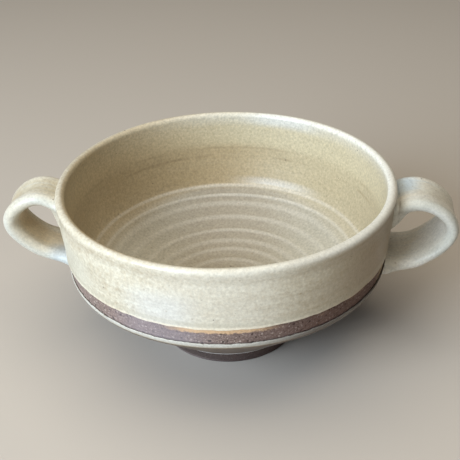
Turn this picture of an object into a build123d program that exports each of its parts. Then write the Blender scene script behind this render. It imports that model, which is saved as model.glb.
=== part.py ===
from build123d import *
import math
import os

# Wheel-thrown stoneware soup bowl with two pulled loop handles. Millimetres, +Z up,
# the handles on the X axis, origin in the middle of the foot ring's resting face.
os.makedirs("parts", exist_ok=True)

# Overall sizes, over the glaze
rim_diameter = 130.0
bowl_height = 69.0
glaze_depth = 0.6
lip_thickness = 3.9

# Outside of the wall: a finger groove under the lip, a slight swell, a slight draft
groove_drop = 6.4
groove_depth = 0.6
swell_drop = 12.0
swell_inset = 0.15
wall_draft = 0.5

# Bare band turned on the wall, the rounded shoulder and the cone under it
band_drop = 31.5
band_width = 6.8
band_draft = 0.75
shoulder_radius = 4.0
shoulder_land = 0.3

# Turned foot ring and the hollow inside it
foot_diameter = 57.2
foot_height = 7.4
foot_flare = 2.9
foot_crease_radius = 1.6
foot_edge_radius = 0.9
glaze_stop_rise = 1.2
foot_ring_width = 4.6
hollow_depth = 6.4
hollow_draft = 1.2
hollow_rise = 2.1

# Thrown inside: a dished floor with finger ridges that open out towards the middle
floor_thickness = 6.2
floor_curve = 2.17
floor_edge_inset = 9.2
floor_edge_drop = 2.2
ridge_height = 0.4
ridge_pitch = 4.0
ridge_spread = 0.35
smooth_middle = 10.0
wall_thickness = 4.6
wall_ridge_rise = 4.5
corner_reach = 2.6
corner_rise = 5.0

# Pulled strap handles, grooved along the outside and flared where they are luted on,
# with a belly inside the bend and wider towards the lower root
strap_channel = 0.7
strap_crown = 0.4
strap_widen = 2.2
strap_stations = 10
root_spread = 4.6
root_swell = 4.2
root_flare_power = 8
root_cover = 1.5
crown_reach = 9.2
crown_drop = 3.5
upper_root_drop = 9.0
upper_root_bury = 2.0
upper_root_climb = 0.2
lower_root_drop = 3.7
lower_root_bury = 7.6
lower_root_climb = 0.3

# The two were pulled by hand, so they differ
left_width = 18.0
left_thickness = 4.7
left_reach = 25.0
left_widest_drop = 17.4
left_elbow_reach = 12.0
left_elbow_rise = 5.9
left_belly = 1.2
right_width = 19.6
right_thickness = 5.2
right_reach = 26.4
right_widest_drop = 17.5
right_elbow_reach = 8.5
right_elbow_rise = 1.4
right_belly = 0.1

# Places that follow from the sizes above
rim_radius = rim_diameter / 2
lip_radius = lip_thickness / 2
lip_level = bowl_height - lip_radius
lip_centre = rim_radius - lip_radius
clay_radius = rim_radius - glaze_depth
band_bottom = bowl_height - band_drop
band_top = band_bottom + band_width
band_top_radius = clay_radius - wall_draft
band_bottom_radius = band_top_radius - band_draft
foot_radius = foot_diameter / 2
foot_top_radius = foot_radius + foot_flare
hollow_radius = foot_radius - foot_ring_width
floor_level = hollow_depth + hollow_rise + floor_thickness
floor_edge_radius = rim_radius - floor_edge_inset
floor_edge_level = band_bottom - floor_edge_drop
lower_root_level = band_bottom - lower_root_drop

# The shoulder's corner lies down the slope of the band, far enough for its rounding
band_bottom_point = Vector(band_bottom_radius, band_bottom)
foot_top_point = Vector(foot_top_radius, foot_height)
band_angle = math.atan2(band_draft, band_width)
cone_angle = math.atan2(band_bottom_radius - foot_top_radius, band_bottom - foot_height)
down_band = Vector(-math.sin(band_angle), -math.cos(band_angle))
shoulder_run = shoulder_radius * math.tan((cone_angle - band_angle) / 2) + shoulder_land
shoulder_corner = band_bottom_point + down_band * shoulder_run
down_cone = (foot_top_point - shoulder_corner).normalized()
glaze_stop = foot_top_point - down_cone * glaze_stop_rise


def dished_level(radius):
    """Height of the thrown floor at a radius, between the finger ridges."""
    rise = floor_edge_level - floor_level
    return floor_level + rise * (radius / floor_edge_radius) ** floor_curve


def thrown_inside():
    """Points of the clay inside, from the middle of the floor over its ridges and up the wall."""
    points = []
    ridge_radius = floor_edge_radius
    pitch = ridge_pitch
    while ridge_radius > smooth_middle:
        trough_radius = ridge_radius - pitch / 2
        points.append((ridge_radius, dished_level(ridge_radius) + ridge_height / 2))
        points.append((trough_radius, dished_level(trough_radius) - ridge_height / 2))
        ridge_radius -= pitch
        pitch += ridge_spread
    points.append((0, floor_level))
    points.reverse()
    points.append((floor_edge_radius + corner_reach, floor_edge_level + corner_rise))
    points.append((rim_radius - wall_thickness, band_top + wall_ridge_rise))
    points.append((rim_radius - lip_thickness + glaze_depth, lip_level))
    return points


def turned_wall(skin):
    """Points of the outside from the lip to the bare band, a skin's depth over the clay."""
    return [
        (clay_radius + skin, lip_level),
        (clay_radius - groove_depth + skin, bowl_height - groove_drop),
        (clay_radius - swell_inset + skin, bowl_height - swell_drop),
        (band_top_radius + skin, band_top),
    ]


def lifted_inside(depth):
    """Points of the inside moved off the clay, square to the line between their neighbours."""
    points = thrown_inside()
    before = [(-points[1][0], points[1][1])] + points[:-1]
    after = points[1:] + [(points[-1][0], bowl_height)]
    lifted = []
    for (r0, z0), (r, z), (r1, z1) in zip(before, points, after):
        run = math.hypot(r1 - r0, z1 - z0)
        lifted.append((r - depth * (z1 - z0) / run, z + depth * (r1 - r0) / run))
    lifted[-1] = (points[-1][0] - depth, lip_level)
    return lifted


def wiped_edge(clay_point, off_clay, along):
    """Blunt end of a glaze coat, where it was wiped back from the bare clay before firing."""
    Polyline(
        clay_point,
        clay_point + off_clay / 2 + along * (glaze_depth / 2),
        clay_point + off_clay,
    )


# Lines of the clay that more than one piece follows
with BuildLine() as clay_inside:
    Spline(*thrown_inside(), tangents=[(1, 0), (0, 1)])

with BuildLine() as clay_outside:
    ThreePointArc(
        (rim_radius - lip_thickness + glaze_depth, lip_level),
        (lip_centre, bowl_height - glaze_depth),
        (clay_radius, lip_level),
    )
    Spline(*turned_wall(0), tangents=[(0, -1), (0, -1)])

with BuildLine() as clay_cone:
    FilletPolyline(band_bottom_point, shoulder_corner, glaze_stop, radius=shoulder_radius)

with BuildPart() as stoneware_body:
    with BuildSketch(Plane.XZ):
        with BuildLine():
            add(clay_inside.line)
            add(clay_outside.line)
            Line((band_top_radius, band_top), band_bottom_point)
            add(clay_cone.line)
            foot_ring = FilletPolyline(
                glaze_stop,
                foot_top_point,
                (foot_radius, 0),
                (hollow_radius, 0),
                (hollow_radius - hollow_draft, hollow_depth),
                radius=[foot_crease_radius, foot_edge_radius, foot_edge_radius],
            )
            hollow_top = TangentArc((0, hollow_depth + hollow_rise), foot_ring @ 1, tangent=(1, 0))
            Line(hollow_top @ 0, clay_inside.line @ 0)
        make_face()
    revolve(axis=Axis.Z)

# The straps end part way through the wall
with BuildPart() as wall_core:
    with BuildSketch(Plane.XZ):
        with BuildLine():
            core_line = Spline(*lifted_inside(-root_cover), tangents=[(1, 0), (0, 1)])
            Polyline(core_line @ 1, (0, lip_level), core_line @ 0)
        make_face()
    revolve(axis=Axis.Z)


def pulled_strap(side, width, thickness, belly, widest, elbow):
    """Loop handle on the +X or -X side, its ends still buried in the wall.

    The widest point is given as its reach off the rim and its drop from it, the elbow
    as its reach off the rim and its rise from the lower root.
    """
    with BuildLine(Plane.XZ) as pull:
        Spline(
            (side * (clay_radius - upper_root_bury), bowl_height - upper_root_drop),
            (side * (rim_radius + crown_reach), bowl_height - crown_drop - thickness / 2),
            (side * (rim_radius + widest[0] - thickness / 2), bowl_height - widest[1]),
            (side * (rim_radius + elbow[0]), lower_root_level + elbow[1]),
            (side * (rim_radius - lower_root_bury), lower_root_level),
            tangents=[(side, upper_root_climb), (-side, -lower_root_climb)],
        )
    with BuildPart() as strap:
        for station in range(strap_stations + 1):
            along = (1 - math.cos(math.pi * station / strap_stations)) / 2
            flare = abs(2 * along - 1) ** root_flare_power
            edge = (width + strap_widen * along + root_spread * flare) / 2
            outer = (thickness + root_swell * flare) / 2
            inner = outer + belly * math.sin(math.pi * along)
            bead = edge - (outer + inner) / 2
            middle = (outer - inner) / 2
            across = Plane(pull.line @ along, x_dir=(0, side, 0), z_dir=pull.line % along)
            with BuildSketch(across):
                with BuildLine():
                    Spline(
                        (-bead, outer),
                        (0, outer - strap_channel),
                        (bead, outer),
                        tangents=[(1, 0), (1, 0)],
                    )
                    ThreePointArc((bead, outer), (edge, middle), (bead, -inner))
                    ThreePointArc((bead, -inner), (0, -inner - strap_crown), (-bead, -inner))
                    ThreePointArc((-bead, -inner), (-edge, middle), (-bead, outer))
                make_face()
        loft()
        add(wall_core.part, mode=Mode.SUBTRACT)
    return strap.part


left_strap = pulled_strap(
    -1,
    left_width,
    left_thickness,
    left_belly,
    widest=(left_reach, left_widest_drop),
    elbow=(left_elbow_reach, left_elbow_rise),
)
right_strap = pulled_strap(
    1,
    right_width,
    right_thickness,
    right_belly,
    widest=(right_reach, right_widest_drop),
    elbow=(right_elbow_reach, right_elbow_rise),
)

with BuildPart() as left_handle:
    add(left_strap)
    add(stoneware_body.part, mode=Mode.SUBTRACT)

with BuildPart() as right_handle:
    add(right_strap)
    add(stoneware_body.part, mode=Mode.SUBTRACT)

with BuildPart() as upper_glaze_coat:
    with BuildSketch(Plane.XZ):
        with BuildLine():
            add(clay_inside.line)
            add(clay_outside.line)
            inner_face = Spline(*lifted_inside(glaze_depth), tangents=[(1, 0), (0, 1)])
            ThreePointArc(inner_face @ 1, (lip_centre, bowl_height), (rim_radius, lip_level))
            Spline(*turned_wall(glaze_depth), tangents=[(0, -1), (0, -1)])
            wiped_edge(clay_outside.line @ 1, Vector(glaze_depth, 0), Vector(0, -1))
            Line(inner_face @ 0, clay_inside.line @ 0)
        make_face()
    revolve(axis=Axis.Z)
    add(left_strap, mode=Mode.SUBTRACT)
    add(right_strap, mode=Mode.SUBTRACT)

with BuildPart() as lower_glaze_band:
    with BuildSketch(Plane.XZ):
        with BuildLine():
            add(clay_cone.line)
            off_band = Vector(-down_band.Y, down_band.X) * glaze_depth
            off_cone = Vector(-down_cone.Y, down_cone.X) * glaze_depth
            off_corner = (off_band + off_cone) / (1 + down_band.dot(down_cone))
            FilletPolyline(
                band_bottom_point + off_band,
                shoulder_corner + off_corner,
                glaze_stop + off_cone,
                radius=shoulder_radius + glaze_depth,
            )
            wiped_edge(band_bottom_point, off_band, -down_band)
            wiped_edge(glaze_stop, off_cone, down_cone)
        make_face()
    revolve(axis=Axis.Z)
    add(left_strap, mode=Mode.SUBTRACT)
    add(right_strap, mode=Mode.SUBTRACT)

stoneware_body.part.label = "stoneware_body"
left_handle.part.label = "left_handle"
right_handle.part.label = "right_handle"
upper_glaze_coat.part.label = "upper_glaze_coat"
lower_glaze_band.part.label = "lower_glaze_band"

export_step(stoneware_body.part, "parts/stoneware_body.step")
export_step(left_handle.part, "parts/left_handle.step")
export_step(right_handle.part, "parts/right_handle.step")
export_step(upper_glaze_coat.part, "parts/upper_glaze_coat.step")
export_step(lower_glaze_band.part, "parts/lower_glaze_band.step")
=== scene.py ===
import math

import bpy
from mathutils import Matrix, Vector
from mathutils.geometry import interpolate_bezier


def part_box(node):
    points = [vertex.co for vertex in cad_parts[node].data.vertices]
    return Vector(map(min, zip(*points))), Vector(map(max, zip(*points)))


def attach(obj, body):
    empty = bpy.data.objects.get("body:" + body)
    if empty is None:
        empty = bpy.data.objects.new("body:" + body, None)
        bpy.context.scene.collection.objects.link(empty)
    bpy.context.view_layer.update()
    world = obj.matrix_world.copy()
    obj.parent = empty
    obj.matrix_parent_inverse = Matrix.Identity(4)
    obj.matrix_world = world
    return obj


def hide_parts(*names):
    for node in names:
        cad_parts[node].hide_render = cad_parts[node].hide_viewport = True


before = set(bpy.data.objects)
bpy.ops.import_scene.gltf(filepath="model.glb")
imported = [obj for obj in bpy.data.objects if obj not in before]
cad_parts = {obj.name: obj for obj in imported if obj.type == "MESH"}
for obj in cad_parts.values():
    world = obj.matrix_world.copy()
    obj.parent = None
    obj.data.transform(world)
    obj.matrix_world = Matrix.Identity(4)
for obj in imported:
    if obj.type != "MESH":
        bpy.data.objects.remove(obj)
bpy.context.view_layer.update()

# The bowl is one lump of iron-rich stoneware, thrown on the wheel and turned upside down
# when leather-hard. Only its band and foot ring stay bare, with turning marks and grog.
mm = 0.001
clay_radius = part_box("stoneware_body")[1].y
clay_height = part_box("stoneware_body")[1].z
glaze_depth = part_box("upper_glaze_coat")[1].z - clay_height
rim_radius = clay_radius + glaze_depth
rim_height = clay_height + glaze_depth
wheel_steps = 360
weld = mm / 100

band_bottom = 37.5 * mm
band_top = 44.3 * mm
band_bottom_radius = clay_radius - 1.25 * mm
band_top_radius = clay_radius - 0.5 * mm
shoulder_drop = 1.6 * mm
shoulder_inset = 1.4 * mm
foot_radius = 28.6 * mm
foot_top = 7.4 * mm
foot_top_radius = 31.5 * mm
foot_ring_inner = 24.0 * mm
foot_edge = 0.9 * mm
hollow_depth = 6.4 * mm
hollow_middle = 8.5 * mm
hollow_top_radius = 22.8 * mm
turning_mark = 0.07 * mm
turning_pitch = 1.3 * mm
turning_chatter = 3.7
floor_level = 14.7 * mm
floor_edge_level = 35.3 * mm
floor_edge_radius = rim_radius - 9.2 * mm
floor_curve = 2.17
wall_thickness = 4.6 * mm
wall_inside = rim_radius - wall_thickness
lip_radius = 1.95 * mm
lip_level = rim_height - lip_radius
lip_middle = rim_radius - lip_radius
hidden_step = 8.0 * mm
hidden_knee_lift = 6 * mm
hidden_edge_lift = 4 * mm
lump_octaves = 2
wobble_grain = 45 * mm
wobble_depth = 0.3 * mm
grog_grain = 1.5 * mm
grog_depth = 0.2 * mm
oval_depth = 3.5 * mm
oval_stretch = 1.018
oval_centre = -10 * mm
oval_reach = 16 * mm

dark_clay = (0.165, 0.115, 0.097, 1)
light_clay = (0.215, 0.142, 0.112, 1)
fine_grain = (0.38, 0.285, 0.245, 1)
pale_grit = (0.56, 0.46, 0.40, 1)
dark_grit = (0.040, 0.027, 0.022, 1)
foot_shade = (0.052, 0.034, 0.030, 1)
foot_edge_highlight = (0.28, 0.225, 0.21, 1)
warm_shade = (0.13, 0.045, 0.028, 1)
clay_sheen = (0.33, 0.29, 0.32, 1)
toasted = (0.76, 0.50, 0.28, 1)
window_lit_clay = (0.36, 0.29, 0.26, 1)
right_root_olive = (0.33, 0.25, 0.155, 1)


def stretch(start, end, step):
    """Points on a straight stretch of an outline, about a step apart, without the last one."""
    start = Vector(start)
    end = Vector(end)
    count = max(1, round((end - start).length / step))
    return [start.lerp(end, i / count) for i in range(count)]


def bend(start, leave, arrive, end, step):
    """Points on a curved stretch of an outline, without the last one."""
    count = max(2, round((Vector(end) - Vector(start)).length / step))
    knots = [Vector(p).to_3d() for p in (start, leave, arrive, end)]
    return [p.to_2d() for p in interpolate_bezier(*knots, count + 1)[:-1]]


def dished(radius):
    """Height of the thrown floor at a radius."""
    share = (radius / floor_edge_radius) ** floor_curve
    return floor_level + (floor_edge_level - floor_level) * share


def turned_band(height):
    """Radius of the bare band at a height, with the marks of the turning tool."""
    share = (height - band_bottom) / (band_top - band_bottom)
    mark = math.sin(math.tau * height / turning_pitch)
    mark += math.sin(turning_chatter * height / turning_pitch)
    return band_bottom_radius + (band_top_radius - band_bottom_radius) * share + turning_mark * mark / 2


def hidden_side(start, outer_sink, sink, wall_sink, spread):
    """The covered part of an outline: up inside the wall, over the lip and in to the axis."""
    outer = (clay_radius - outer_sink, lip_level)
    top = (lip_middle, clay_height - sink)
    inner = (wall_inside + wall_sink, lip_level)
    line = stretch(start, outer, hidden_step)
    line += stretch(outer, top, hidden_step)
    line += stretch(top, inner, hidden_step)
    line += bend(inner, (inner[0], band_top + hidden_knee_lift),
                 (floor_edge_radius + spread, floor_edge_level + hidden_edge_lift),
                 (floor_edge_radius, floor_edge_level - sink), hidden_step / 2)
    rows = stretch((floor_edge_radius, 0), (0, 0), hidden_step)
    line += [Vector((row[0], dished(row[0]) - sink)) for row in rows]
    line.append(Vector((0, floor_level - sink)))
    return line


def thrown(name, outline):
    """Draw half a section point by point and spin it round the axis of the wheel."""
    bpy.ops.object.select_all(action="DESELECT")
    bpy.ops.mesh.primitive_plane_add(size=mm)
    piece = bpy.context.object
    piece.name = name
    bpy.ops.object.mode_set(mode="EDIT")
    bpy.ops.mesh.merge(type="CENTER")
    here = Vector((0, 0))
    for number, point in enumerate(outline):
        move = {"value": (point[0] - here[0], 0, point[1] - here[1])}
        if number == 0:
            bpy.ops.transform.translate(**move)
        else:
            bpy.ops.mesh.extrude_region_move(TRANSFORM_OT_translate=move)
        here = point
    bpy.ops.mesh.select_all(action="SELECT")
    bpy.ops.mesh.spin(steps=wheel_steps, angle=math.tau, center=(0, 0, 0), axis=(0, 0, 1))
    bpy.ops.mesh.select_all(action="SELECT")
    bpy.ops.mesh.remove_doubles(threshold=weld)
    bpy.ops.mesh.normals_make_consistent(inside=False)
    bpy.ops.object.mode_set(mode="OBJECT")
    bpy.ops.object.shade_smooth()
    return piece


def points_between(piece, low, high):
    """Group the points of a piece between two heights."""
    group = piece.vertex_groups.new(name="between")
    group.add([v.index for v in piece.data.vertices if low < v.co.z < high], 1.0, "REPLACE")
    return group.name


def roughen(piece, name, grain, depth, direction="NORMAL", level=1.0, group=""):
    """Press soft lumps of a given grain into a piece, all over or in one group of points."""
    lumps = bpy.data.textures.new(name, "CLOUDS")
    lumps.noise_scale = grain
    lumps.noise_depth = lump_octaves
    bpy.ops.object.select_all(action="DESELECT")
    bpy.context.view_layer.objects.active = piece
    piece.select_set(True)
    bpy.ops.object.modifier_add(type="DISPLACE")
    press = piece.modifiers[-1]
    press.texture = lumps
    press.direction = direction
    press.mid_level = level
    press.strength = depth
    press.vertex_group = group
    bpy.ops.object.modifier_apply(modifier=press.name)


def pick(mesh, test):
    """Select only the points that pass a test of their place, and stay in edit mode."""
    bpy.ops.object.mode_set(mode="EDIT")
    bpy.ops.mesh.select_mode(type="VERT")
    bpy.ops.mesh.select_all(action="DESELECT")
    bpy.ops.object.mode_set(mode="OBJECT")
    for vertex in mesh.vertices:
        vertex.select = test(vertex.co)
    bpy.ops.object.mode_set(mode="EDIT")


def drawn_oval(piece):
    """Draw the rim a little wider along the handles, which pulled it while the clay was soft."""
    pick(piece.data, lambda place: place.z > rim_height - oval_depth)
    bpy.ops.transform.resize(
        value=(oval_stretch, 1, 1), center_override=(oval_centre, 0, 0), use_proportional_edit=True,
        proportional_size=oval_reach, proportional_edit_falloff="SMOOTH")
    bpy.ops.object.mode_set(mode="OBJECT")


class Tone:
    """A shader socket: sums with tones and numbers add the Math nodes that they need."""

    def __init__(self, tree, socket=None):
        self.tree = tree
        self.socket = socket

    def node(self, kind, settings, inputs, output=0):
        """Add a node, set it up, fill its sockets and return one of its outputs."""
        made = self.tree.nodes.new("ShaderNode" + kind)
        for name, value in settings.items():
            setattr(made, name, value)
        for name, value in inputs.items():
            if isinstance(value, Tone):
                self.tree.links.new(value.socket, made.inputs[name])
            else:
                made.inputs[name].default_value = value
        return Tone(self.tree, made.outputs[output])

    def math(self, operation, first, second=0.0):
        return self.node("Math", {"operation": operation}, {0: first, 1: second})

    def __add__(self, other):
        return self.math("ADD", self, other)

    def __radd__(self, other):
        return self.math("ADD", other, self)

    def __sub__(self, other):
        return self.math("SUBTRACT", self, other)

    def __rsub__(self, other):
        return self.math("SUBTRACT", other, self)

    def __mul__(self, other):
        return self.math("MULTIPLY", self, other)

    def __rmul__(self, other):
        return self.math("MULTIPLY", other, self)

    def __truediv__(self, other):
        return self.math("DIVIDE", self, other)

    def __pow__(self, other):
        return self.math("POWER", self, other)

    def __abs__(self):
        return self.math("ABSOLUTE", self)

    def rise(self, low, high):
        """0 below low, 1 above high, smooth between them."""
        settings = {"interpolation_type": "SMOOTHSTEP"}
        return self.node("MapRange", settings, {"Value": self, "From Min": low, "From Max": high})

    def tint(self, under, over):
        """The colour under, going to the colour over where this mask is 1."""
        return self.node("Mix", {"data_type": "RGBA"}, {0: self, 6: under, 7: over}, output=2)

    def scaled(self, factor):
        """This colour made lighter or darker by a factor."""
        return self.node("VectorMath", {"operation": "SCALE"}, {0: self, "Scale": factor})

    def split(self):
        """The x, y and z of a vector."""
        parts = self.node("SeparateXYZ", {}, {0: self})
        outputs = parts.socket.node.outputs
        return [Tone(self.tree, outputs[i]) for i in range(3)]

    def noise(self, scale, detail=3.0, rough=0.55):
        """Soft noise from 0 to 1 at this place, with features of about 1 / scale metres."""
        inputs = {"Vector": self, "Scale": scale, "Detail": detail, "Roughness": rough}
        return self.node("TexNoise", {}, inputs, output="Fac")

    def specks(self, scale, share, smallest, largest):
        """Round specks in a share of the cells of a random packing, sizes as parts of a cell."""
        inputs = {"Vector": self, "Scale": scale}
        distance = self.node("TexVoronoi", {}, inputs, output="Distance")
        cell = Tone(self.tree, distance.socket.node.outputs["Color"]).split()
        size = smallest + (largest - smallest) * cell[1]
        chosen = cell[0].rise(1.0 - share, 1.0 - share + 0.01)
        return chosen * (1.0 - (distance / size).rise(0.6, 1.0))


def new_material(name):
    """A node material and its Principled shader, with a first tone that gives the place."""
    material = bpy.data.materials.new(name)
    material.use_nodes = True
    tree = material.node_tree
    shader = tree.nodes["Principled BSDF"]
    place = Tone(tree).node("TexCoord", {}, {}, output="Object")
    return material, shader, place


def at_front(x, y, middle, core, reach, full, gone):
    """1 round a middle on the front of the bowl, fading out sideways and towards the back."""
    return (1.0 - abs(x - middle).rise(core, reach)) * (1.0 - y.rise(full, gone))


def link(tone, shader, socket):
    """Feed a tone to a socket of the shader."""
    tone.tree.links.new(tone.socket, shader.inputs[socket])


def dress(piece, material):
    """Give a piece one material."""
    piece.data.materials.clear()
    piece.data.materials.append(material)


hollow_corner = (hollow_top_radius, hollow_depth)
ring_inner_corner = (foot_ring_inner - foot_edge / 6, foot_edge)
ring_inner_rest = (foot_ring_inner + foot_edge, 0)
ring_outer_rest = (foot_radius - foot_edge, 0)
ring_outer_corner = (foot_radius + foot_edge / 3, foot_edge)
foot_top_corner = (foot_top_radius, foot_top)
shoulder_low = (band_bottom_radius - shoulder_inset, band_bottom - shoulder_drop)
shoulder_high = (band_bottom_radius, band_bottom - mm / 2)
clay_line = bend((0, hollow_middle), (hollow_top_radius / 2, hollow_middle),
                 (hollow_top_radius * 0.7, hollow_depth + mm), hollow_corner, mm)
clay_line += stretch(hollow_corner, ring_inner_corner, mm / 2)
clay_line += bend(ring_inner_corner, (foot_ring_inner, foot_edge / 3),
                  (foot_ring_inner + foot_edge / 3, 0), ring_inner_rest, mm / 3)
clay_line += stretch(ring_inner_rest, ring_outer_rest, mm / 2)
clay_line += bend(ring_outer_rest, (foot_radius - foot_edge / 3, 0),
                  (foot_radius + foot_edge / 6, foot_edge / 3), ring_outer_corner, mm / 3)
for radius, height in stretch(ring_outer_corner, foot_top_corner, mm / 3):
    mark = math.sin(math.tau * height / turning_pitch)
    clay_line.append(Vector((radius + turning_mark * mark, height)))
clay_line += stretch(foot_top_corner, shoulder_low, hidden_step)
clay_line += stretch(shoulder_low, shoulder_high, mm / 2)
band_rows = stretch((0, shoulder_high[1]), (0, band_top + mm), mm / 3)
clay_line += [Vector((turned_band(row[1]), row[1])) for row in band_rows]
clay_line += hidden_side((band_top_radius, band_top + mm), outer_sink=mm, sink=mm,
                         wall_sink=2 * mm, spread=4 * mm)

clay_bowl = thrown("thrown_clay_bowl", clay_line)
off_the_table = points_between(clay_bowl, foot_edge / 2, rim_height)
roughen(clay_bowl, "wheel_wobble", wobble_grain, wobble_depth, group=off_the_table)
roughen(clay_bowl, "grog", grog_grain, grog_depth, group=off_the_table)
drawn_oval(clay_bowl)

bare_clay, shader, place = new_material("bare_clay")
x, y, z = place.split()
patch = place.noise(60, detail=4)
grain = place.noise(1500, detail=4, rough=0.7)
pale_grog = place.specks(900, 0.6, 0.15, 0.5)
dark_grog = place.specks(700, 0.5, 0.15, 0.5)
colour = patch.rise(0.4, 0.65).tint(dark_clay, light_clay)
colour = (0.8 * grain.rise(0.42, 0.66)).tint(colour, fine_grain)
colour = (0.75 * pale_grog).tint(colour, pale_grit)
colour = (0.85 * dark_grog).tint(colour, dark_grit)
# Painted shade: the foot ring under the belly is painted a near-black brown.
on_foot = 1.0 - z.rise(foot_top, foot_top + mm)
colour = (0.85 * on_foot).tint(colour, foot_shade)
# Painted highlight: a paler line along the foot's bottom edge on the left, where the light catches it.
lit_foot_edge = (1.0 - abs(z - foot_edge).rise(0.3 * mm, 0.9 * mm)) * (1.0 - x.rise(-15 * mm, 5 * mm))
colour = (0.5 * lit_foot_edge).tint(colour, foot_edge_highlight)
# Painted shade: the bare clay is tinted warm and darkened towards the right, away from the window.
to_right = x.rise(-5 * mm, 42 * mm)
colour = (0.45 * to_right).tint(colour, warm_shade)
colour = colour.scaled(1.0 - 0.25 * to_right)
# Painted sheen: a cool pale patch on the front left of the band, where the window is reflected.
window_sheen = at_front(x, y, -20 * mm, 6 * mm, 24 * mm, -40 * mm, -20 * mm)
colour = (0.5 * window_sheen * (1.0 - on_foot)).tint(colour, clay_sheen)
front = at_front(x, y, 2 * mm, 9 * mm, 23 * mm, -20 * mm, 0.0)
flash_edge = band_top - 3.7 * mm + 2.6 * mm * place.noise(700, detail=4)
flash = z.rise(flash_edge, flash_edge + 0.9 * mm) * (front + 0.15 * patch.rise(0.54, 0.64))
colour = (flash * (0.45 + 0.7 * grain)).tint(colour, toasted)
# Painted light: the clay is painted paler on the far left, towards the window.
to_left = 1.0 - x.rise(-60 * mm, -34 * mm)
colour = (0.3 * to_left).tint(colour, window_lit_clay)
# The clay is tinted olive-brown near the right handle's lower root.
by_right_root = x.rise(40 * mm, 50 * mm) * (1.0 - abs(y).rise(20 * mm, 27 * mm))
colour = (0.85 * by_right_root).tint(colour, right_root_olive)
link(colour, shader, "Base Color")
link(0.78 + 0.16 * grain, shader, "Roughness")
pits = place.noise(900, detail=5, rough=0.7) + 0.5 * pale_grog - 0.5 * dark_grog
bump = place.node("Bump", {}, {"Strength": 0.6, "Distance": 0.25 * mm, "Height": pits})
link(bump, shader, "Normal")
dress(clay_bowl, bare_clay)
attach(clay_bowl, "root")
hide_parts("stoneware_body")

# Each handle is a strap of the same clay, pulled out long, bent into a loop and luted to the
# wall with slip, a few degrees askew. The wet hand that pulled it left a channel between two
# thick edges.
route_steps = 64
strap_stations = 64
strap_levels = 2
section_points = 24
channel_cuts = 4
channel_depth = 0.7 * mm
channel_share = 0.42
edge_run = 1.4
edge_share = 0.3
upper_buried = 2.4 * mm
lower_buried = 6.5 * mm
lower_web = 1.2 * mm
lower_web_reach = 2.0 * mm
web_start = upper_buried - 0.4 * mm
root_spread = 4.4 * mm
root_reach = 2.8 * mm
seam_off_wall = 2.4 * mm
seam_width = 0.7 * mm
cant_level = 50 * mm
finger_grain = 12 * mm
finger_depth = 0.5 * mm

buff = (0.48, 0.405, 0.28, 1)
cream = (0.70, 0.655, 0.53, 1)
iron_speck = (0.11, 0.08, 0.06, 1)
rust_speck = (0.27, 0.19, 0.11, 1)
channel_buff = (0.50, 0.45, 0.33, 1)
thin_edge = (0.74, 0.71, 0.62, 1)
right_strap_light = (0.80, 0.79, 0.73, 1)
pulled_line = (0.58, 0.60, 0.58, 1)
shaded_edge = (0.54, 0.54, 0.475, 1)
inner_left_shade = (0.66, 0.53, 0.345, 1)
inner_right_light = (0.88, 0.83, 0.74, 1)
lower_right_light = (0.84, 0.82, 0.74, 1)
seam_and_shade_brown = (0.22, 0.18, 0.13, 1)
pooled_blue = (0.44, 0.52, 0.57, 1)
right_pool = (69 * mm, 3 * mm, 64.5 * mm)
left_pool_and_sheen = (-66 * mm, -8 * mm, 38 * mm)
pool_reach = 9 * mm


def loop_route(side, places):
    """The line along the middle of a strap: reach, level, lean, and the run before and after."""
    bpy.ops.object.select_all(action="DESELECT")
    bpy.ops.curve.primitive_bezier_curve_add()
    route = bpy.context.object
    points = route.data.splines[0].bezier_points
    points.add(len(places) - len(points))
    for point, (reach, level, lean, before, after) in zip(points, places):
        middle = Vector((side * reach, 0, level)) * mm
        way = Vector((side * math.cos(math.radians(lean)), 0, math.sin(math.radians(lean)))) * mm
        point.handle_left_type = "FREE"
        point.handle_right_type = "FREE"
        point.co = middle
        point.handle_left = middle - way * before
        point.handle_right = middle + way * after
    route.data.resolution_u = route_steps
    return route


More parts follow.
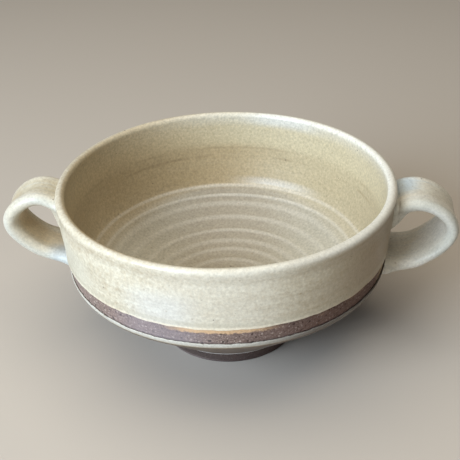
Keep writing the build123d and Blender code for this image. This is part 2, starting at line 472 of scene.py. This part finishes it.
def pulled_handle(name, route, width, thickness, belly, widen, web, web_reach, seam_depth, cant):
    """Shape a straight strap, flare its ends, bend it along the loop and set it a little askew."""
    length = route.data.splines[0].calc_length()
    bpy.ops.object.select_all(action="DESELECT")
    upright = (0, math.pi / 2, 0)
    bpy.ops.mesh.primitive_circle_add(vertices=section_points, radius=thickness / 2, rotation=upright)
    strap = bpy.context.object
    strap.name = name
    bpy.ops.object.transform_apply(location=True, rotation=True, scale=True)
    bpy.ops.transform.resize(value=(1, edge_run, 1))
    bpy.ops.object.transform_apply(location=True, rotation=True, scale=True)
    flat = (width - edge_run * thickness) / 2
    for side in (-1, 1):
        pick(strap.data, lambda place: place.y * side > weld)
        bpy.ops.transform.translate(value=(0, side * flat, 0))
    pick(strap.data, lambda place: abs(place.y) < flat + edge_share * edge_run * thickness / 2)
    bpy.ops.mesh.subdivide(number_cuts=channel_cuts)
    bpy.ops.mesh.select_all(action="SELECT")
    here = Vector((0, 0, 0))
    wide = width
    thick = thickness
    for station in range(strap_stations + 1):
        share = (1 - math.cos(math.pi * station / strap_stations)) / 2
        off_upper = max(length * share - upper_buried, 0.0)
        off_lower = max(length * (1 - share) - lower_buried, 0.0)
        root = math.exp(-off_upper / root_reach) + math.exp(-off_lower / root_reach)
        seam = seam_depth * math.exp(-((off_upper - seam_off_wall) / seam_width) ** 2)
        inner = belly * math.sin(math.pi * share) - seam
        inner += lower_web * math.exp(-off_lower / lower_web_reach)
        target = Vector((length * share, 0, -(seam + inner) / 2))
        new_wide = width + widen * share + root_spread * root - 2 * seam
        new_thick = thickness - seam + inner
        if station:
            bpy.ops.mesh.extrude_region_move(TRANSFORM_OT_translate={"value": target - here})
        else:
            bpy.ops.transform.translate(value=target - here)
        bpy.ops.transform.resize(value=(1, new_wide / wide, new_thick / thick), center_override=target)
        here = target
        wide = new_wide
        thick = new_thick
    for end in (0.0, length):
        pick(strap.data, lambda place: abs(place.x - end) < weld)
        bpy.ops.mesh.edge_face_add()
    pick(strap.data, lambda place: abs(place.y) < weld and place.z > 0
         and 2 * upper_buried < place.x < length - lower_buried)
    bpy.ops.transform.translate(
        value=(0, 0, -channel_depth), use_proportional_edit=True, proportional_size=channel_share * width,
        proportional_edit_falloff="SMOOTH", use_proportional_connected=True)
    pick(strap.data, lambda place: place.z < -thickness / 4 and abs(place.y) < channel_share * width
         and place.x < web_start)
    bpy.ops.transform.translate(
        value=(0, 0, -web), use_proportional_edit=True, proportional_size=web_reach,
        proportional_edit_falloff="SHARP", use_proportional_connected=True)
    bpy.ops.mesh.select_all(action="SELECT")
    bpy.ops.mesh.normals_make_consistent(inside=False)
    bpy.ops.object.mode_set(mode="OBJECT")
    bpy.ops.object.modifier_add(type="CURVE")
    strap.modifiers[-1].object = route
    bpy.ops.object.modifier_apply(modifier=strap.modifiers[-1].name)
    bpy.ops.object.modifier_add(type="SUBSURF")
    strap.modifiers[-1].levels = strap_levels
    strap.modifiers[-1].render_levels = strap_levels
    bpy.ops.object.modifier_apply(modifier=strap.modifiers[-1].name)
    bpy.ops.object.shade_smooth()
    pick(strap.data, lambda place: True)
    bpy.ops.transform.rotate(
        value=math.radians(cant), orient_axis="X", center_override=(0, 0, cant_level))
    bpy.ops.object.mode_set(mode="OBJECT")
    bpy.ops.object.select_all(action="DESELECT")
    route.select_set(True)
    bpy.ops.object.delete()
    roughen(strap, name + "_fingers", finger_grain, finger_depth)
    return strap


def oatmeal(name):
    """The satin glaze: buff and mottled, with faint streaks left by the wheel."""
    material, shader, place = new_material(name)
    x, y, z = place.split()
    drift = place.noise(40, detail=2)
    mottle = place.noise(750, detail=5, rough=0.65)
    sweep = place.node("CombineXYZ", {}, {0: 0.05 * x, 1: 0.05 * y, 2: z + (x * x + y * y) ** 0.5})
    streak = sweep.noise(600, detail=3)
    thin = 0.5 + 0.8 * (drift - 0.5) + 2.4 * (mottle - 0.5) + 1.3 * (streak - 0.5)
    link(0.26 + 0.22 * mottle, shader, "Roughness")
    peel = place.noise(600, detail=3) + 0.4 * streak
    bump = place.node("Bump", {}, {"Strength": 0.25, "Distance": 0.15 * mm, "Height": peel})
    link(bump, shader, "Normal")
    return material, shader, place, thin.tint(buff, cream)


def specked(place, colour, grit):
    """A glaze colour with a fine grain and a few iron specks that bled through from the clay."""
    colour = colour.scaled(1.0 + grit * (place.noise(1000, detail=4, rough=0.7) - 0.5))
    colour = (0.7 * place.specks(300, 0.09, 0.05, 0.16)).tint(colour, iron_speck)
    return (0.35 * place.specks(550, 0.12, 0.08, 0.3)).tint(colour, rust_speck)


def near(place, spot, reach):
    """1 at a spot, fading to 0 at a reach from it."""
    distance = place.node("VectorMath", {"operation": "DISTANCE"}, {0: place, 1: spot}, output="Value")
    return 1.0 - distance.rise(0.2 * reach, reach)


left_handle = pulled_handle(
    "left_pulled_handle",
    loop_route(-1, ((62.4, 60.4, -4, 0, 5.0), (74.2, 63.4, -4, 5.0, 5.4), (86.8, 51.6, -93, 5.5, 5.0),
                    (77.0, 39.1, -147, 3.7, 4.7), (57.4, 33.5, -163, 8.0, 0))),
    width=18.0 * mm, thickness=5.3 * mm, belly=1.2 * mm, widen=2.2 * mm,
    web=11.0 * mm, web_reach=4.2 * mm, seam_depth=0.0, cant=-3.3)
right_handle = pulled_handle(
    "right_pulled_handle",
    loop_route(1, ((62.4, 60.5, -4, 0, 5.0), (74.2, 63.1, -2, 5.0, 5.8), (88.1, 51.5, -87, 6.0, 7.2),
                   (73.5, 35.8, -168, 4.0, 5.0), (57.4, 33.8, -173, 5.0, 0))),
    width=20.8 * mm, thickness=5.6 * mm, belly=0.1 * mm, widen=2.4 * mm,
    web=7.5 * mm, web_reach=7.5 * mm, seam_depth=0.4 * mm, cant=-5.0)

handle_glaze, shader, place, colour = oatmeal("handle_glaze")
x, y, z = place.split()
edge = abs(y).rise(2.5 * mm, 7.0 * mm)
colour = (0.45 * (1.0 - edge)).tint(colour, channel_buff)
colour = (0.55 * edge).tint(colour, thin_edge)
# Painted light: the right handle is painted paler, for the light that falls on it.
colour = (0.4 * x.rise(60 * mm, 70 * mm)).tint(colour, right_strap_light)
on_right = x.rise(-10 * mm, 10 * mm)
pull = place.node("CombineXYZ", {}, {0: 0.06 * x, 1: y, 2: 0.06 * z}).noise(500, detail=3)
colour = ((0.25 + 0.3 * on_right) * pull.rise(0.48, 0.62)).tint(colour, pulled_line)
low_right = on_right * (1.0 - z.rise(34 * mm, 42 * mm))
near_edge = (1.0 - y.rise(-10 * mm, -6 * mm)) * (1.0 - low_right)
colour = (0.75 * near_edge).tint(colour, shaded_edge)
# Painted shade and light on the inner faces of the loops: warm brown as shade on the left, pale as light
# on the right.
from_middle = z - 51 * mm + 0.3 * (76 * mm - abs(x))
off_middle = ((0.8 * (abs(x) - 72 * mm)) ** 2 + from_middle ** 2) ** 0.5
inner_face = (1.0 - off_middle.rise(10.5 * mm, 12.8 * mm)) * (1.0 - 0.7 * edge)
colour = (0.85 * inner_face).tint(colour, on_right.tint(inner_left_shade, inner_right_light))
# Painted light: the low part of the right handle is painted paler.
colour = (0.5 * low_right).tint(colour, lower_right_light)
# A dark line along the luted seam at the right upper root, partly the seam and partly painted shade in
# the crevice by the wall.
off_seam = abs((x * x + y * y) ** 0.5 - 67.4 * mm)
seam = x.rise(0.0, mm) * z.rise(54 * mm, 56 * mm) * (1.0 - off_seam.rise(0.1 * mm, 0.5 * mm))
seam = seam * place.noise(160, detail=2).rise(0.35, 0.6)
colour = (0.5 * seam).tint(colour, seam_and_shade_brown)
# Blue-grey glaze pooled at the roots; at the left lower root it is partly a painted sheen.
pooled = near(place, right_pool, pool_reach) + 0.7 * near(place, left_pool_and_sheen, pool_reach)
colour = (0.8 * pooled).tint(colour, pooled_blue)
link(specked(place, colour, 0.8), shader, "Base Color")
for strap, node in ((left_handle, "left_handle"), (right_handle, "right_handle")):
    dress(strap, handle_glaze)
    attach(strap, "root")
    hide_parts(node)

# The base was dipped in the oatmeal glaze up to a waxed line, so its edge stands as a thin
# pale bead round the shoulder. Below, it runs down the cone to a wiped edge above the foot.
# The cone and the right side are painted dark as shade, and the wiped edge is painted
# near-white as a highlight.
bead = 0.35 * mm
bead_inner = (band_bottom_radius - 0.1 * mm, band_bottom)
bead_outer = (band_bottom_radius + glaze_depth, band_bottom - 0.1 * mm)
cone_start = (62.27 * mm, 34.33 * mm)
cone_end = (32.79 * mm, 7.75 * mm)
cone_start_under = (cone_start[0] - 0.8 * mm, cone_start[1] + 0.6 * mm)
cone_end_under = (foot_top_radius - 0.3 * mm, foot_top + 0.8 * mm)
run_end = (foot_top_radius - 0.9 * mm, foot_top - 1.0 * mm)
run_bead = (foot_top_radius + 0.25 * mm, foot_top - 0.5 * mm)
waxed_grain = 1.7 * mm
waxed_depth = 0.9 * mm
dull_gloss = 0.15

line_white = (0.57, 0.565, 0.53, 1)
line_shade = (0.115, 0.095, 0.08, 1)
cone_shade_brown = (0.12, 0.08, 0.056, 1)
edge_highlight = (0.92, 0.91, 0.88, 1)

base_line = bend(bead_inner, (band_bottom_radius, band_bottom + bead),
                 (bead_outer[0], band_bottom + bead), bead_outer, mm / 8)
base_line += bend(bead_outer, (bead_outer[0] - 0.15 * mm, bead_outer[1] - 1.2 * mm),
                  (cone_start[0] + 0.6 * mm, cone_start[1] + 0.57 * mm), cone_start, mm / 3)
base_line += stretch(cone_start, cone_end, mm)
base_line += bend(cone_end, (cone_end[0] - 0.5 * mm, cone_end[1] - 0.45 * mm),
                  (run_bead[0] + 0.2 * mm, run_bead[1] + 0.4 * mm), run_bead, mm / 6)
base_line += bend(run_bead, (run_bead[0] - 0.2 * mm, run_bead[1] - 0.6 * mm),
                  (run_end[0] + 0.5 * mm, run_end[1] - 0.2 * mm), run_end, mm / 6)
base_line += stretch(run_end, cone_end_under, mm)
base_line += stretch(cone_end_under, cone_start_under, hidden_step)
base_line += stretch(cone_start_under, bead_inner, mm)
base_line.append(base_line[0])
lower_glaze = thrown("lower_oatmeal_glaze", base_line)
roughen(lower_glaze, "wheel_wobble", wobble_grain, wobble_depth)
waxed = points_between(lower_glaze, band_bottom - 0.2 * mm, band_bottom + mm)
roughen(lower_glaze, "waxed_edge", waxed_grain, waxed_depth, "Z", 0.5, waxed)

lower_oatmeal, shader, place, colour = oatmeal("lower_oatmeal_glaze")
shader.inputs["Specular IOR Level"].default_value = dull_gloss
x, y, z = place.split()
on_line = z.rise(band_bottom - 2.2 * mm, band_bottom - mm)
colour = (0.7 * on_line).tint(colour, line_white)
# Painted shade: the lower glaze is darkened towards the right, and the cone below the shoulder is painted
# dark brown.
colour = (0.88 * x.rise(0.0, 40 * mm)).tint(colour, line_shade)
shaded_cone = 1.0 - z.rise(band_bottom - 2.6 * mm, band_bottom - 1.1 * mm)
colour = (0.95 * shaded_cone).tint(colour, cone_shade_brown)
# Painted highlight: the rolled lower edge of the glaze above the foot is painted near-white.
last_edge = 1.0 - z.rise(foot_top, foot_top + 0.5 * mm)
colour = (0.95 * last_edge).tint(colour, edge_highlight)
link(specked(place, colour, 0.8), shader, "Base Color")
dress(lower_glaze, lower_oatmeal)
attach(lower_glaze, "root")
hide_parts("lower_glaze_band")

# The upper coat is the same oatmeal glaze, poured inside and dipped outside. It is thin and
# pale on the lip and on the finger ridges of the floor. Below it, the bare clay is toasted.
# Its colour also carries painted shade low inside the wall, on the outside to the right and
# in the middle of the floor, painted light under the lip, on the front and far left and on
# the right of the lip, and painted sheens at the back, on the floor's edge and front left.
finger_ridges = ((55.5, 0.34, 0.9), (51.6, 0.36, 0.9), (48.2, 0.22, 1.7),
                 (42.2, 0.28, 1.6), (36.0, 0.30, 1.2), (30.9, 0.24, 1.7),
                 (26.4, 0.22, 1.5), (20.5, 0.24, 1.6), (14.0, 0.20, 1.8))
ridge_sink = 0.15
fine_row = 0.5 * mm
lip_steps = 18
groove_level = rim_height - 6.4 * mm
swell_level = rim_height - 12.0 * mm
groove_radius = rim_radius - 0.6 * mm
swell_radius = rim_radius - 0.15 * mm
edge_radius = band_top_radius + glaze_depth
wall_knee = (wall_inside - 0.6 * mm, 48.8 * mm)
lip_inside = (lip_middle - lip_radius, lip_level)
lip_outside = (rim_radius, lip_level)
groove = (groove_radius, groove_level)
swell = (swell_radius, swell_level)
coat_edge = (edge_radius, band_top + 0.5 * mm)
coat_edge_under = (band_top_radius - 0.1 * mm, band_top)
dipped_grain = 5 * mm
dipped_depth = 0.8 * mm
back_sheen_spot = (22 * mm, 58 * mm, 65 * mm)
back_sheen_reach = 24 * mm
floor_sheen_spot = (20 * mm, 53 * mm, 37 * mm)
floor_sheen_reach = 26 * mm
floor_sheen_level = 37.5 * mm

left_wall_shade = (0.44, 0.337, 0.193, 1)
right_wall_shade = (0.49, 0.415, 0.265, 1)
high_left_shade = (0.55, 0.44, 0.27, 1)
high_right_shade = (0.57, 0.50, 0.335, 1)
under_lip_light = (0.72, 0.69, 0.60, 1)
back_sheen_blue = (0.72, 0.75, 0.75, 1)
front_light_cream = (0.74, 0.70, 0.60, 1)
cream_sheen = (0.69, 0.71, 0.71, 1)
shade_olive = (0.385, 0.315, 0.21, 1)
shade_brown = (0.31, 0.225, 0.13, 1)
lit_left_cream = (0.61, 0.605, 0.505, 1)
floor_middle_shade = (0.335, 0.31, 0.26, 1)
floor_sides_lit = (0.475, 0.465, 0.41, 1)
floor_shade = (0.25, 0.225, 0.185, 1)
floor_sheen_grey = (0.70, 0.70, 0.69, 1)
crest_pale = (0.70, 0.67, 0.60, 1)
crease_brown = (0.28, 0.21, 0.12, 1)
lip_cream_and_light = (0.80, 0.78, 0.70, 1)
roll_buff = (0.46, 0.42, 0.31, 1)
wiped_pale = (0.80, 0.71, 0.55, 1)


def glazed_floor(radius):
    """Height of the glaze on the floor, with the ridges that the fingers left."""
    ridges = sum(height * math.exp(-((radius / mm - crest) / half_width) ** 2)
                 for crest, height, half_width in finger_ridges)
    return dished(radius) + glaze_depth + (ridges - ridge_sink) * mm


coat_line = [Vector((row[0], glazed_floor(row[0])))
             for row in stretch((0, 0), (floor_edge_radius, 0), fine_row)]
floor_edge = (floor_edge_radius, glazed_floor(floor_edge_radius))
coat_line += bend(floor_edge, (floor_edge[0] + 1.2 * mm, floor_edge[1] + 0.95 * mm),
                  (wall_knee[0] - 0.9 * mm, wall_knee[1] - 5.3 * mm), wall_knee, fine_row)
coat_line += bend(wall_knee, (wall_knee[0] + 0.8 * mm, wall_knee[1] + 5.2 * mm),
                  (lip_inside[0], lip_inside[1] - 6 * mm), lip_inside, fine_row)
for step in range(lip_steps):
    angle = math.pi * (1 - step / lip_steps)
    across = lip_radius * math.cos(angle)
    up = lip_radius * math.sin(angle)
    coat_line.append(Vector((lip_middle + across, lip_level + up)))
coat_line += bend(lip_outside, (rim_radius, lip_level - 1.7 * mm),
                  (groove_radius, groove_level + 1.8 * mm), groove, fine_row)
coat_line += bend(groove, (groove_radius, groove_level - 1.8 * mm),
                  (swell_radius, swell_level + 2.2 * mm), swell, fine_row)
coat_line += bend(swell, (swell_radius, swell_level - 5 * mm),
                  (edge_radius, band_top + 5 * mm), coat_edge, fine_row)
coat_line += bend(coat_edge, (edge_radius + 0.1 * mm, band_top),
                  (edge_radius - 0.2 * mm, band_top - 0.3 * mm), coat_edge_under, mm / 8)
coat_line += hidden_side(coat_edge_under, outer_sink=0.7 * mm, sink=0.5 * mm,
                         wall_sink=1.6 * mm, spread=3.4 * mm)
upper_glaze = thrown("upper_oatmeal_glaze", coat_line)
roughen(upper_glaze, "wheel_wobble", wobble_grain, wobble_depth)
drawn_oval(upper_glaze)
dipped = points_between(upper_glaze, band_top - mm, band_top + 0.45 * mm)
roughen(upper_glaze, "dipped_edge", dipped_grain, dipped_depth, "Z", 0.5, dipped)

upper_oatmeal, shader, place, colour = oatmeal("upper_oatmeal_glaze")
x, y, z = place.split()
radius = (x * x + y * y) ** 0.5
inside = 1.0 - radius.rise(lip_middle - 0.2 * mm, lip_middle + 0.6 * mm)
outside = 1.0 - inside
# Painted shade: the lower inside wall is painted a darker olive-brown, darkest on the left.
low_wall_shade = inside * (1.0 - z.rise(wall_knee[1] + 5 * mm, lip_level - 0.5 * mm))
colour = (0.9 * low_wall_shade).tint(colour, x.rise(-10 * mm, 35 * mm).tint(left_wall_shade, right_wall_shade))
# Painted shade: the upper inside wall is painted a darker buff, darker on the left.
high_wall = inside * z.rise(wall_knee[1] + 2 * mm, wall_knee[1] + 8 * mm)
colour = (0.75 * high_wall).tint(colour, x.rise(-45 * mm, 10 * mm).tint(high_left_shade, high_right_shade))
# Painted light: the inside just under the lip is painted paler towards the right.
lit_under_lip = inside * z.rise(lip_level - 5 * mm, lip_level) * x.rise(-50 * mm, 0.0)
colour = (0.45 * lit_under_lip).tint(colour, under_lip_light)
# Painted sheen: a pale blue-grey patch just under the lip at the back right, where the window is
# reflected.
back_sheen = near(place, back_sheen_spot, back_sheen_reach) * z.rise(lip_level - 5 * mm, lip_level - mm)
colour = (0.5 * inside * back_sheen).tint(colour, back_sheen_blue)
# Painted light: the outside is painted paler on the front.
lit_front = at_front(x, y, 0.0, 10 * mm, 32 * mm, -40 * mm, -10 * mm)
colour = (0.4 * outside * lit_front).tint(colour, front_light_cream)
# Painted sheen: a cool pale patch on the front left, where the window is reflected.
window_sheen = at_front(x, y, -19 * mm, 3 * mm, 18 * mm, -40 * mm, -20 * mm)
colour = (0.45 * outside * window_sheen * (1.0 - z.rise(53 * mm, 62 * mm))).tint(colour, cream_sheen)
colour = (0.78 * outside * x.rise(12 * mm, 52 * mm)).tint(colour, shade_olive)
colour = (0.6 * outside * x.rise(38 * mm, 60 * mm)).tint(colour, shade_brown)
# Painted light: the outside is painted a cooler, paler cream on the far left, towards the window.
far_left = (1.0 - x.rise(-58 * mm, -36 * mm)) * (1.0 - z.rise(56 * mm, 63 * mm))
colour = (0.5 * outside * far_left).tint(colour, lit_left_cream)
# Painted light and shade on the floor: it is painted darker in the middle and towards the back, paler to
# the sides.
passage = 2.5 * mm + 8 * mm * abs(x).rise(15 * mm, 50 * mm)
on_floor = 1.0 - ((radius - floor_edge_radius) / passage).rise(-1.0, 0.4)
floor_light_and_shade = abs(x).rise(8 * mm, 36 * mm).tint(floor_middle_shade, floor_sides_lit)
colour = (0.75 * on_floor).tint(colour, floor_light_and_shade)
colour = (0.3 * on_floor * y.rise(10 * mm, 40 * mm)).tint(colour, floor_shade)
# Painted sheen: a pale grey streak along the floor's edge at the back right, where the window is
# reflected.
floor_sheen = 1.0 - abs(z - floor_sheen_level).rise(0.5 * mm, 2.5 * mm)
floor_sheen = near(place, floor_sheen_spot, floor_sheen_reach) * floor_sheen
colour = (0.35 * floor_sheen).tint(colour, floor_sheen_grey)
worn = 0.4 + 0.9 * place.noise(30, detail=2)
for crest, _, half_width in finger_ridges:
    off_crest = abs(radius - crest * mm) / (half_width * mm)
    thin_crest = (0.36 / half_width + 0.06) * worn * (1.0 - off_crest.rise(0.1, 1.0))
    colour = thin_crest.tint(colour, crest_pale)
for above_knee, strength, scale in ((1.2 * mm, 0.45, 45), (5.0 * mm, 0.3, 36)):
    off_crease = abs(z - wall_knee[1] - above_knee + 2 * mm * place.noise(14, detail=1))
    crease = (1.0 - off_crease.rise(0.0, 0.9 * mm)) * place.noise(scale, detail=2).rise(0.42, 0.58)
    colour = (strength * inside * crease).tint(colour, crease_brown)
# The lip is paler where the glaze thins, and painted lighter still towards the right as light.
on_lip = z.rise(rim_height - 3.2 * mm, rim_height - 0.6 * mm)
on_lip = on_lip * (0.1 + 0.08 * x.rise(-40 * mm, -10 * mm) + 0.72 * x.rise(0.0, 60 * mm))
colour = on_lip.tint(colour, lip_cream_and_light)
above_edge = z - band_top
thick_roll = above_edge.rise(0.8 * mm, 1.4 * mm) * (1.0 - above_edge.rise(2.4 * mm, 3.6 * mm))
colour = (0.35 * outside * thick_roll).tint(colour, roll_buff)
wiped = outside * (1.0 - above_edge.rise(0.6 * mm, 1.3 * mm))
wiped = wiped * (0.4 + 0.4 * lit_front) * (1.0 - 0.7 * x.rise(10 * mm, 40 * mm))
colour = wiped.tint(colour, wiped_pale)
link(specked(place, colour, 0.7 + 0.4 * inside), shader, "Base Color")
dress(upper_glaze, upper_oatmeal)
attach(upper_glaze, "root")
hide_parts("upper_glaze_coat")

# The stage is a plain pale floor under a cool window light from the front left and a large
# soft light from above. The camera stands where the photograph was taken from.
floor_width = 6.0
floor_colour = (0.52, 0.47, 0.415, 1)
floor_roughness = 0.8
bpy.ops.object.select_all(action="DESELECT")
bpy.ops.mesh.primitive_plane_add(size=floor_width)
floor = bpy.context.object
floor.name = "floor"
floor_paint, shader, _ = new_material("floor_paint")
shader.inputs["Base Color"].default_value = floor_colour
shader.inputs["Roughness"].default_value = floor_roughness
dress(floor, floor_paint)

lamp_aim = Vector((0, 0, 0.04))
lamps = (("window", (-0.61, -0.71, 0.46), 0.6, 14.6, (0.75, 0.87, 1.0)),
         ("ceiling", (-0.10, -0.10, 1.0), 1.2, 9.2, (1.0, 0.93, 0.80)))
for name, stand, size, watts, hue in lamps:
    bpy.ops.object.light_add(type="AREA", location=stand)
    lamp = bpy.context.object
    lamp.name = name
    lamp.rotation_euler = (lamp_aim - Vector(stand)).to_track_quat("-Z", "Y").to_euler()
    lamp.data.size = size
    lamp.data.energy = watts
    lamp.data.color = hue

room_colour = (1.0, 0.85, 0.68, 1)
room_strength = 0.03
world = bpy.data.worlds.new("room")
bpy.context.scene.world = world
world.use_nodes = True
sky = world.node_tree.nodes["Background"]
sky.inputs["Color"].default_value = room_colour
sky.inputs["Strength"].default_value = room_strength

camera_place = Vector((24.2, -291.5, 224.4)) * mm
camera_turn = math.radians(4.5)
camera_dip = 31.53
camera_tilt = math.radians(90 - camera_dip)
camera_roll = math.radians(-1.82)
camera_lens = 66.52
camera_sensor = 36.0
camera_near = 0.01
bpy.ops.object.camera_add(location=camera_place)
camera = bpy.context.object
turn = Matrix.Rotation(camera_turn, 3, "Z")
tilt = Matrix.Rotation(camera_tilt, 3, "X")
roll = Matrix.Rotation(camera_roll, 3, "Z")
camera.rotation_euler = (turn @ tilt @ roll).to_euler()
camera.data.sensor_width = camera_sensor
camera.data.lens = camera_lens
camera.data.clip_start = camera_near
bpy.context.scene.camera = camera
bpy.context.scene.view_settings.view_transform = "Standard"
